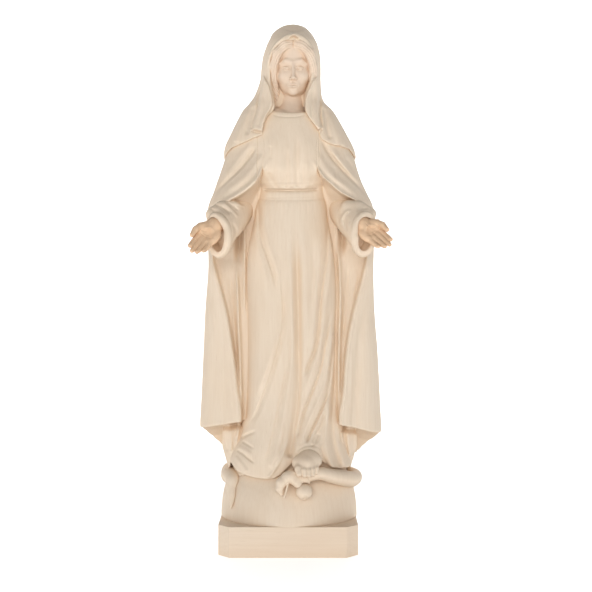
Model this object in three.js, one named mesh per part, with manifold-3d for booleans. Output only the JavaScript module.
// A free-standing carved wooden madonna: a robed figure with open hands, standing on a serpent and a
// flattened globe, on a rectangular plinth with cut corners. Millimetres, +Z up, the figure looks along -Y.
// The origin is the centre of the plinth's underside.
import * as THREE from "three";
import { mergeVertices } from "three/addons/utils/BufferGeometryUtils.js";
import Module from "manifold-3d";

// ---- driving dimensions (mm) -------------------------------------------------------------------
const PLINTH_W = 77, PLINTH_D = 64, PLINTH_H = 16.8, PLINTH_CUT = 6.4;
const GLOBE_A = 38.9, GLOBE_B = 32, GLOBE_C = 43, GLOBE_Z = 14, GLOBE_TOP = 46, GLOBE_X = 0.3, GLOBE_N = 2.6;
const GAP = 0.3; // glue line between carved blocks
const PEG_R = 2.0, PEG_FIT = 0.12; // wrist pegs
const DOWEL_R = 4.0, DOWEL_FIT = 0.12; // plinth dowels
const NECK_PEG_R = 2.5;
const SERPENT_R = 4.1;
const APPLE_R = 4.4;

// ---- outlines ----------------------------------------------------------------------------------
// Horizontal sections, top to bottom: [z, left x, right x, front y, back y, squareness].
const VEIL = [
  [299.4, -1.5, 6.1, 1, 9, 2.0], [297.8, -5.2, 10.0, -1.6, 12.5, 2.0], [294.3, -9.4, 13.4, -5.2, 15.5, 2.05],
  [290.8, -10.9, 15.3, -9.3, 17, 2.1], [287.4, -12.4, 16.7, -12.4, 18, 2.15], [280.4, -14.7, 18.3, -14, 18.6, 2.2],
  [273.5, -15.7, 18.6, -14.4, 18.6, 2.25], [266.6, -16.4, 18.6, -14, 18.2, 2.25], [259.7, -18.7, 19, -13.6, 17.8, 2.2],
  [256.3, -20.4, 19.6, -13.4, 17.8, 2.15], [252.8, -23, 21.6, -13.6, 18, 2.1], [249.4, -26.2, 25.3, -14.2, 18.4, 2.1],
  [242.5, -29.9, 29.6, -15.6, 19, 2.15], [235.5, -33.1, 33.2, -17, 19.6, 2.2], [228.6, -36, 36.6, -17.6, 20.2, 2.2],
  [223.5, -37, 38.4, -17.8, 20.8, 2.2], [220.6, -36.8, 38.5, -17.8, 21, 2.2],
];
const MANTLE = [
  [253.4, -15.3, 14.7, -9, 13, 2.1], [250.5, -21, 19.9, -11, 15, 2.1], [242.5, -27.9, 27.6, -13.5, 17, 2.15],
  [232.1, -33.1, 33.1, -15.8, 18.5, 2.2], [221.7, -36.4, 37.7, -17.5, 19.3, 2.2], [214.8, -38.6, 39.7, -19, 19.8, 2.25],
  [207.9, -40.9, 41.9, -21, 20.2, 2.3], [201, -43.2, 45.1, -22.5, 20.5, 2.35], [194.1, -45.8, 48.2, -23.5, 20.8, 2.4],
  [184.9, -47.2, 49.4, -22.5, 21.2, 2.4], [168.8, -46.3, 49.2, -20.5, 21.8, 2.35], [157.3, -46.3, 49, -19.5, 22.4, 2.3],
  [134.2, -48.1, 49.7, -19, 23.4, 2.3], [111.2, -49.2, 51.5, -19, 24.2, 2.3], [88.2, -50.2, 52.7, -19.5, 25, 2.3],
  [66.3, -51.2, 53.6, -20, 25.8, 2.3], [56.5, -50.9, 53.5, -20, 26, 2.3], [39.3, -49.8, 52.1, -20, 26, 2.3],
];
const GOWN = [
  [251.7, -6.6, 10.1, -8.5, 8, 2.0], [248.2, -12.8, 16, -12.0, 10, 2.2], [242.5, -17.3, 19.6, -14.8, 11.5, 2.5],
  [232.1, -18.9, 20.8, -16.8, 12.5, 2.8], [220.6, -19.6, 21.6, -17.8, 12.5, 2.9], [210.2, -19.6, 22.4, -17.9, 12, 2.7],
  [206, -18.7, 21.8, -17.4, 12, 2.3], [204.4, -17.6, 21.2, -16.2, 12, 2.3], [203.3, -17.5, 21.4, -15.7, 12, 2.2],
  [198, -17.6, 21.4, -16.0, 12, 2.2], [196.4, -18.0, 21.8, -16.5, 12, 2.2], [193, -18.9, 22.2, -17.2, 12.2, 2.2],
  [186, -19.6, 22.8, -17.8, 12.5, 2.2], [168.8, -23, 25.6, -19.2, 13.5, 2.2], [145.8, -24.2, 28.2, -20.6, 14.5, 2.2],
  [122.7, -24.2, 28.8, -21.6, 15.5, 2.2], [99.7, -24.5, 29.0, -22, 16.5, 2.2], [76.7, -25.6, 30.0, -22.4, 17.5, 2.2],
  [64, -28.0, 31.8, -23.2, 18.5, 2.25], [56, -31.4, 33.8, -24.2, 19, 2.3], [49.1, -34.2, 35.6, -25, 19.5, 2.35],
  [43.3, -35.4, 36.6, -25.6, 20, 2.35], [36, -36.0, 37.2, -26, 20.4, 2.35],
];
// Front edges of the mantle and the bottom of the recess behind them:
// [z, left x, right x, edge y, left recess x, right recess x, recess y].
const OPENING = [
  [256.3, -11.8, 13, -12, -7.8, 8.9, -9], [237.3, -14.1, 17, -14, -11.8, 14.7, -9], [226.3, -13.2, 15.5, -15, -11.2, 13.5, -9],
  [214.8, -14.4, 16.1, -16, -12.4, 14.1, -10], [208.5, -16.4, 19.3, -17, -14.1, 17, -10], [204.5, -19, 23.9, -18, -15.8, 20, -9],
  [199.9, -24.5, 29.1, -19, -18.5, 22, -8], [195.8, -31.4, 36.6, -20, -20.2, 24, -7], [191.8, -38.3, 41.9, -20, -21.5, 25.2, -6],
  [183.7, -42.9, 45.4, -19, -23, 26.6, -5], [170, -43.2, 45.6, -17.5, -24, 27.6, -5], [161.9, -43.0, 44.4, -17, -24.6, 28.2, -6.5],
  [145.8, -38.4, 40.2, -17, -25, 28.8, -9], [131.9, -34.8, 36.4, -17.5, -25, 29.2, -10], [118.1, -32.4, 33.8, -18, -25, 29.4, -10.5],
  [104.3, -30.3, 32.1, -18.5, -25, 29.6, -11], [91.6, -28.8, 31.2, -19, -25.4, 29.6, -11.5], [73.2, -26.9, 29.2, -19.5, -25.9, 30.2, -11.5],
  [36.4, -26.2, 29.6, -19.5, -25.9, 30.8, -11.5],
];
// The mantle's hem rises from the back to the sides and on to the two front corners.
const HEM_SIDE_Z = 66.9, HEM_CORNER_Z = 75.6, HEM_BACK_Z = 47;

// ---- geometry helpers --------------------------------------------------------------------------
const wasm = await Module();
wasm.setup();

const solid = (geometry) => {
  const g = geometry.index ? geometry.toNonIndexed() : geometry.clone();
  for (const name of Object.keys(g.attributes)) if (name !== "position") g.deleteAttribute(name);
  const m = mergeVertices(g, 1e-4);
  const s = new wasm.Manifold(
    new wasm.Mesh({ numProp: 3, vertProperties: new Float32Array(m.attributes.position.array), triVerts: new Uint32Array(m.index.array) }),
  );
  if (s.volume() < 0) throw new Error("inside out");
  return s;
};
const biggest = (s) => {
  const parts = s.decompose();
  return parts.reduce((a, b) => (b.volume() > a.volume() ? b : a));
};
const geometryOf = (s) => {
  const m = s.getMesh(), n = m.numProp, v = new Float32Array(m.numVert * 3);
  for (let i = 0; i < m.numVert; i++) v.set(m.vertProperties.subarray(i * n, i * n + 3), i * 3);
  const g = new THREE.BufferGeometry().setAttribute("position", new THREE.BufferAttribute(v, 3));
  g.setIndex(new THREE.BufferAttribute(new Uint32Array(m.triVerts), 1));
  g.computeVertexNormals();
  return g;
};
// Monotone-parameter Catmull-Rom through the rows of a table, keyed by its first column.
const sample = (rows, t) => {
  let i = 0;
  const up = rows[rows.length - 1][0] > rows[0][0];
  while (i < rows.length - 2 && (up ? t > rows[i + 1][0] : t < rows[i + 1][0])) i++;
  const a = rows[i], b = rows[i + 1], h = b[0] - a[0];
  const s = Math.min(1, Math.max(0, (t - a[0]) / h));
  return a.map((_, k) => {
    const p = rows[Math.max(0, i - 1)], n = rows[Math.min(rows.length - 1, i + 2)];
    const ma = i > 0 ? (b[k] - p[k]) / (b[0] - p[0]) : (b[k] - a[k]) / h;
    const mb = i < rows.length - 2 ? (n[k] - a[k]) / (n[0] - a[0]) : (b[k] - a[k]) / h;
    const s2 = s * s, s3 = s2 * s;
    return (2 * s3 - 3 * s2 + 1) * a[k] + (s3 - 2 * s2 + s) * h * ma + (-2 * s3 + 3 * s2) * b[k] + (s3 - s2) * h * mb;
  });
};
// A closed surface through rings of equal point count; the first ring is the lowest or the start.
const skin = (rings) => {
  const n = rings[0].length, p = [], tri = [];
  for (const r of rings) for (const q of r) p.push(...q);
  const middle = (r) => r.reduce((a, q) => a.map((x, k) => x + q[k] / r.length), [0, 0, 0]);
  const lo = p.length / 3;
  p.push(...middle(rings[0]), ...middle(rings[rings.length - 1]));
  for (let j = 0; j < rings.length - 1; j++)
    for (let i = 0; i < n; i++) {
      const a = j * n + i, b = j * n + ((i + 1) % n), c = a + n, d = b + n;
      tri.push(a, b, d, a, d, c);
    }
  const e = (rings.length - 1) * n;
  for (let i = 0; i < n; i++) {
    tri.push(lo, (i + 1) % n, i);
    tri.push(lo + 1, e + i, e + ((i + 1) % n));
  }
  const g = new THREE.BufferGeometry().setAttribute("position", new THREE.BufferAttribute(new Float32Array(p), 3));
  g.setIndex(tri);
  return g;
};
// Radius of a four-quadrant superellipse in direction t.
const reach = (t, l, r, f, b, n) => {
  const c = Math.cos(t), s = Math.sin(t);
  return Math.pow(Math.pow(Math.abs(c) / (c < 0 ? l : r), n) + Math.pow(Math.abs(s) / (s < 0 ? f : b), n), -1 / n);
};
// A draped body from its horizontal sections, one ring at every height in levels (top to bottom).
// grow swells it all round; pleat(t, z) adds shallow folds.
const draped = (table, levels, around, { grow = 0, pleat = null } = {}) => {
  const rings = levels.map((z, j) => {
    const [, xl, xr, yf, yb, n] = sample(table, z);
    const cx = (xl + xr) / 2, cy = (yf + yb) / 2, half = (xr - xl) / 2 + grow, deep = (yb - yf) / 2 + grow;
    const end = j === 0 ? grow : j === levels.length - 1 ? -grow : 0;
    return Array.from({ length: around }, (_, i) => {
      const t = (2 * Math.PI * i) / around, r = reach(t, half, half, deep, deep, n) + (pleat ? pleat(t, z) : 0);
      return [cx + r * Math.cos(t), cy + r * Math.sin(t), z + end];
    });
  });
  return solid(skin(rings.reverse()));
};
const spread = (a, b, n) => Array.from({ length: n + 1 }, (_, i) => a + ((b - a) * i) / n);
const V3 = (a) => new THREE.Vector3(...a);
// A limb through [point, half width, half depth] stations; side gives the direction of the half width.
const limb = (stations, side, around = 12, grow = 0, square = 2) => {
  const curve = new THREE.CatmullRomCurve3(stations.map((s) => V3(s[0])), false, "centripetal");
  const rings = stations.map((s, j) => {
    const t = j / (stations.length - 1);
    const p = curve.getPoint(t), d = curve.getTangent(t).normalize();
    const u = V3(side).addScaledVector(d, -V3(side).dot(d)).normalize(), w = new THREE.Vector3().crossVectors(d, u);
    const end = j === 0 ? -grow : j === stations.length - 1 ? grow : 0;
    p.addScaledVector(d, end);
    const ring = [];
    for (let i = 0; i < around; i++) {
      const a = (2 * Math.PI * i) / around, r = reach(a, s[1] + grow, s[1] + grow, s[2] + grow, s[2] + grow, square);
      const q = p.clone().addScaledVector(u, r * Math.cos(a)).addScaledVector(w, r * Math.sin(a));
      ring.push([q.x, q.y, q.z]);
    }
    return ring;
  });
  return solid(skin(rings));
};
const rod = (a, b, r, sides = 16) => {
  const g = new THREE.CylinderGeometry(r, r, V3(a).distanceTo(V3(b)), sides, 1);
  const q = new THREE.Quaternion().setFromUnitVectors(new THREE.Vector3(0, 1, 0), V3(b).sub(V3(a)).normalize());
  g.applyQuaternion(q);
  const m = V3(a).add(V3(b)).multiplyScalar(0.5);
  g.translate(m.x, m.y, m.z);
  return solid(g);
};
const ball = (c, r, sx = 1, sy = 1, sz = 1, wide = 20, high = 12) => {
  const g = new THREE.SphereGeometry(r, wide, high);
  g.scale(sx, sy, sz);
  g.rotateX(Math.PI / 2);
  g.translate(...c);
  return solid(g);
};
const box = (x0, x1, y0, y1, z0, z1) => {
  const g = new THREE.BoxGeometry(x1 - x0, y1 - y0, z1 - z0);
  g.translate((x0 + x1) / 2, (y0 + y1) / 2, (z0 + z1) / 2);
  return solid(g);
};
const lerp = (a, b, t) => a.map((x, k) => x + (b[k] - x) * t);

// ---- plinth and globe --------------------------------------------------------------------------
const DOWELS = [[-14, 4], [14, 4]];
const DOWEL_Z0 = 6, DOWEL_Z1 = 62;
const outline = new THREE.Shape();
const hw = PLINTH_W / 2, hd = PLINTH_D / 2, c = PLINTH_CUT;
[[-hw + c, -hd], [hw - c, -hd], [hw, -hd + c], [hw, hd - c], [hw - c, hd], [-hw + c, hd], [-hw, hd - c], [-hw, -hd + c]].forEach(
  ([x, y], i) => (i ? outline.lineTo(x, y) : outline.moveTo(x, y)),
);
outline.closePath();
const dowelHoles = DOWELS.map(([x, y]) => rod([x, y, DOWEL_Z0 - GAP], [x, y, DOWEL_Z1 + GAP], DOWEL_R + DOWEL_FIT, 24));
const bored = (s) => dowelHoles.reduce((a, h) => a.subtract(h), s);
const plinth = bored(solid(new THREE.ExtrudeGeometry(outline, { depth: PLINTH_H, bevelEnabled: false })));

// The globe is a flattened ball cut off at the plinth's top; its profile turns about Z, is squeezed in depth, and its two
// sides stand fuller than a round ball's.
const globeSolid = (grow) => {
  const profile = [[0, PLINTH_H - grow]], steps = 8, top = GLOBE_TOP + grow;
  for (let i = 0; i <= steps; i++) {
    const z = PLINTH_H + ((top - PLINTH_H) * i) / steps;
    profile.push([Math.sqrt(Math.max(0, 1 - ((z - GLOBE_Z) / (GLOBE_C + grow)) ** 2)), i === 0 ? z - grow : z]);
  }
  profile.push([0, top]);
  const g = new THREE.LatheGeometry(profile.map(([r, z]) => new THREE.Vector2(r, z)), 36);
  g.rotateX(Math.PI / 2);
  const pos = g.getAttribute("position");
  for (let i = 0; i < pos.count; i++) {
    const t = Math.min(0.9, Math.max(0, (pos.getZ(i) - GLOBE_Z) / GLOBE_C));
    pos.setX(i, (pos.getX(i) * (1 - t ** GLOBE_N) ** (1 / GLOBE_N)) / Math.sqrt(1 - t * t));
  }
  g.scale(GLOBE_A + grow, GLOBE_B + grow, 1);
  g.translate(GLOBE_X, 0, 0);
  return solid(g);
};
const globeWhole = globeSolid(0), globeFat = globeSolid(GAP);
const globe = bored(globeWhole);

// ---- gown --------------------------------------------------------------------------------------
// Fold ridges on the gown: [direction in degrees from +X, width in degrees, height mm, from z, down to z].
const GOWN_FOLDS = [
  [-128, 9, 1, 188.9, 42.1], [-104, 7, 0.9, 168.8, 42.1], [-84, 7, 1.1, 180.3, 42.1], [-66, 6, 1.1, 188.9, 42.1],
  [-50, 6, 1, 191.8, 42.1], [-34, 7, 0.9, 197.6, 42.1], [-150, 8, 0.8, 191.8, 42.1], [-94, 5, 0.5, 243.6, 204.5], [-78, 5, 0.5, 243.6, 204.5],
];
const gownFold = (t, z) => {
  let s = 0;
  for (const [deg, w, h, a, b] of GOWN_FOLDS) {
    const e = Math.min(1, Math.max(0, (a - z) / 17)) * Math.min(1, Math.max(0, (z - b) / 4.6));
    let d = ((t * 180) / Math.PI - deg) % 360;
    if (d > 180) d -= 360;
    if (d < -180) d += 360;
    s += h * e * Math.exp(-((d / w) ** 2));
  }
  return s;
};
const GOWN_LEVELS = [251.7, 248.2, 242.5, 236, 229, 220.6, 212, 206.5, 204.6, 203.2, 198.2, 196.4, 192, 183, 172, 158, 143, 127, 110, 93, 77, 66, 58, 51, 44.6];
const gownFat = draped(GOWN, GOWN_LEVELS, 44, { grow: GAP, pleat: gownFold });
// The same body with fewer facets, for the seats cut into the pieces around it.
const gownSeat = draped(GOWN, [251.7, 248.2, 242.5, 236, 229, 212, 207, 198, 192, 172, 143, 110, 77, 66, 58, 51, 44.6], 32, { grow: 0.8 });
const gownWhole = draped(GOWN, GOWN_LEVELS, 44, { pleat: gownFold }).subtract(globeFat);

// ---- arms: sleeves, hands and their pegs ---------------------------------------------------------
const arm = (side) => {
  // side -1 is the figure's right arm (-X), +1 its left
  const wrist = side < 0 ? [-40.5, -27.9, 179.9] : [41.6, -27.9, 180.5];
  const elbow = side < 0 ? [-24.5, 0.5, 194] : [27.5, 0.5, 194];
  const tip = side < 0 ? [-50.7, -38.5, 165.7] : [53.9, -38.5, 168.9];
  return { wrist, elbow, tip };
};
const sleeveOf = (side, grow = 0) => {
  const { wrist, elbow } = arm(side);
  const m = lerp(elbow, wrist, 0.55), e = lerp(elbow, wrist, 1.02);
  const a = [elbow, 7.2, 7.6], b = [[m[0], m[1], m[2] - 1.6], 7.4, 9.4], d = [[e[0], e[1], e[2] - 4.6], 6.9, 11.6];
  const mid = [lerp(b[0], d[0], 0.6), 7.3, 10.9];
  return limb([a, b, mid, d], [0.75, -0.6, 0], 18, grow, 2);
};
const handOf = (side, grow = 0) => {
  const { wrist, tip } = arm(side), s = side;
  const d = V3(tip).sub(V3(wrist)).normalize();
  const up = new THREE.Vector3(-0.1 * s, -0.86, 0.5).normalize(); // back of the open hand to its palm side
  const across = new THREE.Vector3().crossVectors(d, up).normalize();
  const n = new THREE.Vector3().crossVectors(across, d).normalize();
  const p = (l, w, h) => V3(wrist).addScaledVector(d, l).addScaledVector(across, w * s).addScaledVector(n, h).toArray();
  const finger = (w0, w1, l1, l2, r, drop) =>
    limb([[p(7, w0, 0), r, r * 0.85], [p(10.4, (w0 + w1) / 2, 0.1), r, r * 0.85], [p(l1, w1, 0.3), r * 0.95, r * 0.8], [p(l2, w1 * 1.04, drop), r * 0.66, r * 0.6]], across.toArray(), 8, grow);
  let h = limb([[p(-7, 0, 0), 4.1, 3.6], [p(-1, 0, 0), 4.1, 3.6], [p(2.8, 0, 0), 5.0, 2.8], [p(7, 0, 0), 5.7, 2.3], [p(10.4, 0, 0), 5.2, 1.7]], across.toArray(), 14, grow);
  h = h.add(finger(-3.9, -4.0, 15, 18.6, 1.6, 0.9)).add(finger(-1.3, -1.4, 16.4, 20.2, 1.7, 0.5));
  h = h.add(finger(1.3, 1.3, 15.8, 19.4, 1.6, 0.6)).add(finger(3.8, 3.9, 14, 17.2, 1.4, 0.9));
  h = h.add(limb([[p(2, -3.4, 0.8), 2.3, 2.1], [p(5.6, -5.2, 2.0), 2.0, 1.8], [p(9.4, -6.2, 2.7), 1.6, 1.5], [p(13, -6.0, 2.8), 0.9, 0.8]], across.toArray(), 8, grow));
  return { whole: h, axis: d, p };
};
const parts = {};
const sleeveFat = {}, shownSleeve = {};
for (const [side, name] of [[-1, "right"], [1, "left"]]) {
  const { wrist, elbow } = arm(side);
  const { whole, axis } = handOf(side);
  const back = V3(wrist).addScaledVector(axis, -13).toArray(), front = V3(wrist).addScaledVector(axis, -2.5).toArray();
  const peg = rod(back, front, PEG_R);
  const pegHole = rod(V3(wrist).addScaledVector(axis, -13.3).toArray(), V3(wrist).addScaledVector(axis, -2.2).toArray(), PEG_R + PEG_FIT);
  // The mouth of the sleeve: a seat for the wrist, and a bell-shaped hollow below it.
  const seat = rod(V3(wrist).addScaledVector(axis, -7.35).toArray(), V3(wrist).addScaledVector(axis, 9).toArray(), 4.7, 20);
  const e = lerp(elbow, wrist, 1.02), bellEnd = [e[0], e[1], e[2] - 4.6];
  const dir = V3(bellEnd).sub(V3(lerp(elbow, wrist, 0.55))).normalize();
  const bell = limb(
    [[V3(bellEnd).addScaledVector(dir, -5).toArray(), 3.2, 6], [V3(bellEnd).addScaledVector(dir, -2).toArray(), 4.4, 8.4], [V3(bellEnd).addScaledVector(dir, 5).toArray(), 4.9, 9.2]],
    [0.75, -0.6, 0], 16, 0, 2);
  const whole2 = sleeveOf(side);
  sleeveFat[name] = sleeveOf(side, GAP);
  shownSleeve[name] = biggest(whole2.subtract(gownFat).subtract(bell).subtract(seat).subtract(handOf(side, 0.5).whole).subtract(pegHole));
  parts[name + "_hand"] = biggest(whole.subtract(pegHole));
  parts[name + "_wrist_peg"] = peg;
  parts[name + "_sleeve"] = shownSleeve[name];
}
const handsFat = ["right", "left"].map((n) => {
  const { wrist, tip } = arm(n === "right" ? -1 : 1);
  return limb([[lerp(wrist, tip, -0.4), 4.4, 4.0], [lerp(wrist, tip, 0.1), 5.4, 4.4], [lerp(wrist, tip, 1.1), 7.0, 4.4]], [0, 0, 1], 12);
});

// ---- mantle ------------------------------------------------------------------------------------
const mantleOpening = () => {
  const rings = spread(OPENING[0][0], OPENING[OPENING.length - 1][0], 32).map((z) => {
    const [, xl, xr, ye, rl, rr, yr] = sample(OPENING, z);
    return [[xl - 1, -60, z], [xr + 1, -60, z], [xr, ye + 1.2, z], [xr - (xr - rr) * 0.45, (ye + yr) / 2 + 2.5, z], [rr, yr, z],
      [(xl + xr) / 2, yr, z], [rl, yr, z], [xl + (rl - xl) * 0.45, (ye + yr) / 2 + 2.5, z], [xl, ye + 1.2, z]];
  });
  return solid(skin(rings.reverse()));
};
// Everything under the hem: a slab whose top is high at the front corners and sides and low at the back.
const underHem = () => {
  const rings = spread(-62, 62, 10).map((x) => {
    const side = Math.min(1, Math.abs(x - 1) / 50), front = HEM_CORNER_Z + (HEM_SIDE_Z - HEM_CORNER_Z) * side;
    const back = HEM_BACK_Z + 12 * side ** 3;
    return [[x, -60, 0], [x, 60, 0], [x, 60, back], [x, 14, back], [x, 5, HEM_SIDE_Z - 7], [x, -2, HEM_SIDE_Z - 1], [x, -20, front], [x, -60, front]];
  });
  return solid(skin(rings));
};
const fold = (t, z) => {
  // broad hanging folds round the back
  const d = (t * 180) / Math.PI, back = Math.max(0, Math.sin(t)) ** 0.5;
  return back * Math.min(1, Math.max(0, (214.8 - z) / 69)) * 1.2 * Math.cos((d - 90) / 9.5);
};
const MANTLE_LEVELS = [253.4, 250.5, 246, 240, 232.1, 221.7, 214.8, 207.9, 201, 194.1, 187, 178, 168, 156, 142, 127, 112, 97, 82, 66, 52, 39.3];
const mantleOuter = draped(MANTLE, MANTLE_LEVELS, 48, { pleat: fold });
const mantleSeat = draped(MANTLE, [253.4, 250.5, 246, 240, 232.1, 221.7, 214.8, 207.9], 32, { grow: 0.6 });
let mantle = mantleOuter.subtract(mantleOpening()).subtract(underHem()).subtract(gownSeat).subtract(globeFat);
for (const n of ["right", "left"]) mantle = mantle.subtract(sleeveFat[n]);
for (const h of handsFat) mantle = mantle.subtract(h);
const SEAM = 17;
parts.mantle_back = biggest(mantle.intersect(box(-SEAM + GAP / 2, SEAM - GAP / 2, -70, 70, 0, 320)));
parts.mantle_right_side = biggest(mantle.intersect(box(-90, -SEAM - GAP / 2, -70, 70, 0, 320)));
parts.mantle_left_side = biggest(mantle.intersect(box(SEAM + GAP / 2, 90, -70, 70, 0, 320)));

// ---- head and veil -----------------------------------------------------------------------------
const HEAD = [2.7, -1.0, 274.7];
// A plain carved face on the usual thirds: brow, nose and lips are simple rounded ridges.
const headSolid = (grow) => {
  const [x, y, z] = HEAD;
  const skull = ball([x, y + 1.2, z + 3.0], 1, 10.4 + grow, 11.4 + grow, 12.4 + grow, 24, 16);
  const face = limb([[[x, y - 4.4, z - 17.4], 3.4, 3.6], [[x, y - 4.4, z - 15.4], 5.4, 5.4], [[x, y - 3.8, z - 11], 7.8, 8.0], [[x, y - 2.8, z - 4], 9.2, 9.4], [[x, y - 1.4, z + 5], 9.5, 10.2]], [1, 0, 0], 20, grow, 2.1);
  const neck = limb([[[x - 0.6, y + 5, z - 24.5], 7.4, 6.6], [[x - 0.4, y + 4.2, z - 19], 6.8, 6.2], [[x, y + 2, z - 9], 6.8, 6.4]], [1, 0, 0], 20, grow);
  const nose = limb([[[x, y - 12.0, z - 1.2], 0.8, 0.9], [[x, y - 12.9, z - 5.0], 1.1, 1.4], [[x, y - 13.2, z - 8.8], 1.5, 1.6], [[x, y - 11.8, z - 10], 1.0, 1]], [1, 0, 0], 8, grow);
  const brow = limb([[[x - 6.2, y - 9.6, z - 1.2], 0.9, 1], [[x - 3.2, y - 11.3, z - 0.3], 1.1, 1.1], [[x, y - 11.8, z - 0.6], 1, 1.1], [[x + 3.2, y - 11.3, z - 0.3], 1.1, 1.1], [[x + 6.2, y - 9.6, z - 1.2], 0.9, 1]], [0, 0, 1], 8, grow);
  const lips = limb([[[x - 2.4, y - 10.6, z - 13.2], 0.5, 0.6], [[x, y - 11.2, z - 13.2], 0.9, 1.1], [[x + 2.4, y - 10.6, z - 13.2], 0.5, 0.6]], [0, 0, 1], 8, grow);
  const chin = ball([x, y - 8.4, z - 17], 1, 2.6 + grow, 2.2 + grow, 2.1 + grow, 12, 8);
  return skull.add(face).add(neck).add(nose).add(brow).add(lips).add(chin);
};
const neckPeg = [[1.4, 4.2, 256.3], [1.2, 4.4, 243.6]];
const neckHole = rod([neckPeg[0][0], neckPeg[0][1], neckPeg[0][2] + GAP], [neckPeg[1][0], neckPeg[1][1], neckPeg[1][2] - GAP], NECK_PEG_R + PEG_FIT, 20);
const headFat = headSolid(GAP);
for (const n of ["mantle_back", "mantle_right_side", "mantle_left_side"]) parts[n] = biggest(parts[n].subtract(headFat));
parts.head = biggest(headSolid(0).subtract(gownFat).subtract(neckHole));
const faceOpening = () => {
  // outline of the hood's opening, top to bottom: [z, left x, right x, y of its floor]
  const rows = [[289.1, 1.8, 3.5, -6], [287.4, -2.4, 7.7, -6], [284, -7.2, 12.2, -6.5], [279.5, -10, 14.7, -5.5], [273.9, -10.9, 15, -4], [267.1, -10.3, 13.9, -3], [261.5, -8.9, 11.9, -3], [255.9, -7.2, 9.7, -3.5], [251.4, -7.5, 9.4, -5], [246.9, -10.3, 11.1, -9], [241.3, -13.1, 14.4, -11], [235.1, -13.7, 16.7, -12], [216, -13.7, 16.7, -12]];
  const rings = rows.map(([z, xl, xr, y]) => [[xl, -40, z], [xr, -40, z], [xr, y - 3, z], [xr - (xr - xl) * 0.2, y, z], [xl + (xr - xl) * 0.2, y, z], [xl, y - 3, z]]);
  return solid(skin(rings.reverse()));
};
const veilHem = () => {
  // the cape's hem: level at the back and sides, rising to the two hanging ends on the breast
  const rings = spread(-45, 45, 12).map((x) => {
    const a = Math.abs(x - 0.5), front = a > 34 ? 223 : a > 20 ? 231.6 - (a - 20) * 0.59 : 234.4;
    return [[x, -50, 200], [x, 50, 200], [x, 50, 221.2], [x, 2, 222.3], [x, -8, (223.5 + front) / 2], [x, -14, front], [x, -50, front]];
  });
  return solid(skin(rings));
};
const VEIL_LEVELS = [299, 297.6, 294.3, 290.8, 286, 280, 273, 266, 260, 256.3, 252.8, 249.4, 246, 242.5, 236, 229, 223.5, 220.6];
let veil = draped(VEIL, VEIL_LEVELS, 40).subtract(headFat).subtract(faceOpening()).subtract(gownSeat).subtract(mantleSeat).subtract(veilHem());
parts.veil = biggest(veil);

// ---- foot, serpent and apple ---------------------------------------------------------------------
const footSolid = (grow) => limb(
  [[[13, -12, 57.5], 5.6, 5.4], [[12, -22, 54.6], 6.0, 5.0], [[10.9, -28.5, 51.6], 6.2, 4.2], [[10.2, -32.5, 49], 5.6, 3.2], [[9.8, -35, 46.9], 4.0, 1.9]],
  [1, 0, 0], 16, grow, 2.2);
const serpentPath = [[7.1, -29, 42.7], [12, -29, 44.3], [17.4, -28.4, 45.3], [24.2, -24.2, 43], [31.1, -17, 40.6], [36.2, -6, 38.1],
  [38.4, 8, 37.6], [31, 21, 37.8], [15, 27.6, 38], [-5, 28.4, 38.4], [-23, 24, 39.4], [-34, 14, 40.4], [-34.5, 3, 39.1], [-33.2, -6, 40]];
const serpentTube = (grow) => {
  const curve = new THREE.CatmullRomCurve3(serpentPath.map(V3), false, "centripetal");
  const n = 36, rings = [];
  for (let j = 0; j <= n; j++) {
    const t = j / n, p = curve.getPointAt(t), d = curve.getTangentAt(t);
    const u = new THREE.Vector3(0, 0, 1).addScaledVector(d, -d.z).normalize(), w = new THREE.Vector3().crossVectors(d, u);
    const r = SERPENT_R * (t < 0.12 ? 0.74 + 2.2 * t : t > 0.8 ? 1 + (t - 0.8) * 0.6 : 1) + grow;
    rings.push(Array.from({ length: 12 }, (_, i) => {
      const a = (2 * Math.PI * i) / 12;
      return p.clone().addScaledVector(u, r * Math.cos(a)).addScaledVector(w, r * Math.sin(a)).toArray();
    }));
  }
  return solid(skin(rings));
};
const tail = (grow) => limb([[[-33.6, -4, 39.8], 4.4, 4.4], [[-31, -12.5, 39.3], 4.0, 4.0], [[-31.3, -15.2, 35.2], 3.2, 3.2], [[-31.2, -17.4, 30.6], 2.2, 2.2], [[-31.8, -19.2, 24.8], 0.6, 0.6]], [1, 0, 0], 10, grow);
const footFat = footSolid(GAP);
const applePos = [8.4, -31.5, 36.1];
const apple = ball(applePos, APPLE_R, 1, 1, 1, 20, 14);
const appleFat = ball(applePos, APPLE_R + GAP, 1, 1, 1, 20, 14);
const bodyFat = (s) => s.subtract(globeFat).subtract(gownFat);
parts.left_foot = biggest(footSolid(0).subtract(gownFat).subtract(globeFat));
const upperJaw = (g) => limb([[[4.3, -28.4, 45], 3.4, 2.6], [[3, -31, 42.2], 4.2, 2.8], [[4.9, -32.4, 38.4], 2.9, 2.1], [[6.5, -33, 36.6], 1.5, 1.2]], [1, 0, 0.2], 12, g);
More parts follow.
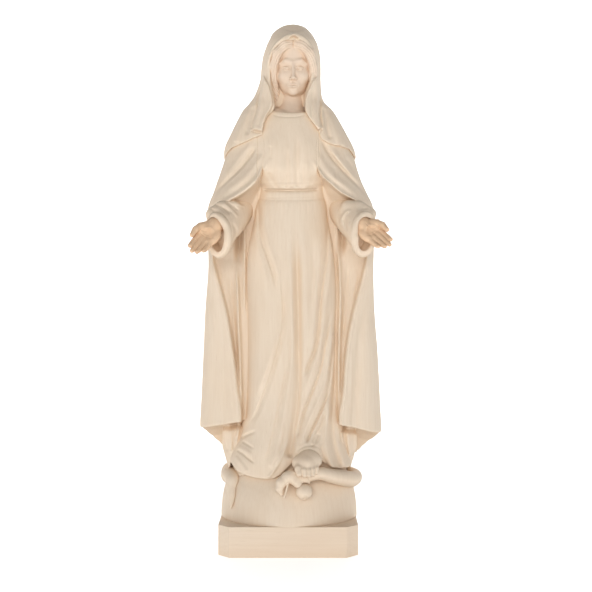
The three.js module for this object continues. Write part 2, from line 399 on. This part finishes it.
const lowerJaw = (g) => limb([[[2.1, -29, 43.5], 3.2, 2.2], [[-0.6, -30.8, 39.4], 2.7, 1.5], [[-1.9, -31.6, 34.7], 1.5, 1.0]], [1, 0, 0.2], 10, g);
const skull = (g) => limb([[[9.2, -28.6, 41.5], 2.9, 2.9], [[6, -30, 43.4], 3.4, 3.0], [[2.1, -30, 43.4], 3.6, 2.8], [[-0.6, -29.6, 41.7], 2.2, 2.0]], [0, 0, 1], 12, g);
const headJoined = (g) => skull(g).add(upperJaw(g)).add(lowerJaw(g));
parts.serpent_head = biggest(bodyFat(headJoined(0)).subtract(footFat).subtract(appleFat));
parts.serpent_body = biggest(bodyFat(serpentTube(0).add(tail(0))).subtract(footFat).subtract(headJoined(GAP)).subtract(appleFat));
parts.apple = biggest(apple.subtract(globeFat));
const serpentFat = serpentTube(GAP).add(tail(GAP));
for (const n of ["mantle_back", "mantle_right_side", "mantle_left_side"]) parts[n] = biggest(parts[n].subtract(serpentFat));
parts.gown = biggest(bored(gownWhole.subtract(neckHole)));
parts.globe = globe;
parts.plinth = plinth;
parts.neck_peg = rod(neckPeg[0], neckPeg[1], NECK_PEG_R, 20);
DOWELS.forEach(([x, y], i) => (parts[i ? "left_dowel" : "right_dowel"] = rod([x, y, DOWEL_Z0], [x, y, DOWEL_Z1], DOWEL_R, 24)));

// ---- the assembly --------------------------------------------------------------------------------
const COLOURS = { wood: 0xe6d6c0, hands: 0xd2b08c, peg: 0xc9a777 };
const statue = new THREE.Group();
const order = ["plinth", "globe", "serpent_body", "serpent_head", "apple", "gown", "left_foot", "mantle_back", "mantle_right_side", "mantle_left_side",
  "veil", "head", "neck_peg", "right_sleeve", "left_sleeve", "right_hand", "left_hand", "right_wrist_peg", "left_wrist_peg", "right_dowel", "left_dowel"];
for (const name of order) {
  const kind = name.endsWith("_hand") ? "hands" : /peg|dowel/.test(name) ? "peg" : "wood";
  const mesh = new THREE.Mesh(geometryOf(parts[name]), new THREE.MeshStandardMaterial({ color: COLOURS[kind], roughness: 0.62, metalness: 0 }));
  mesh.name = name;
  statue.add(mesh);
}
export default statue;
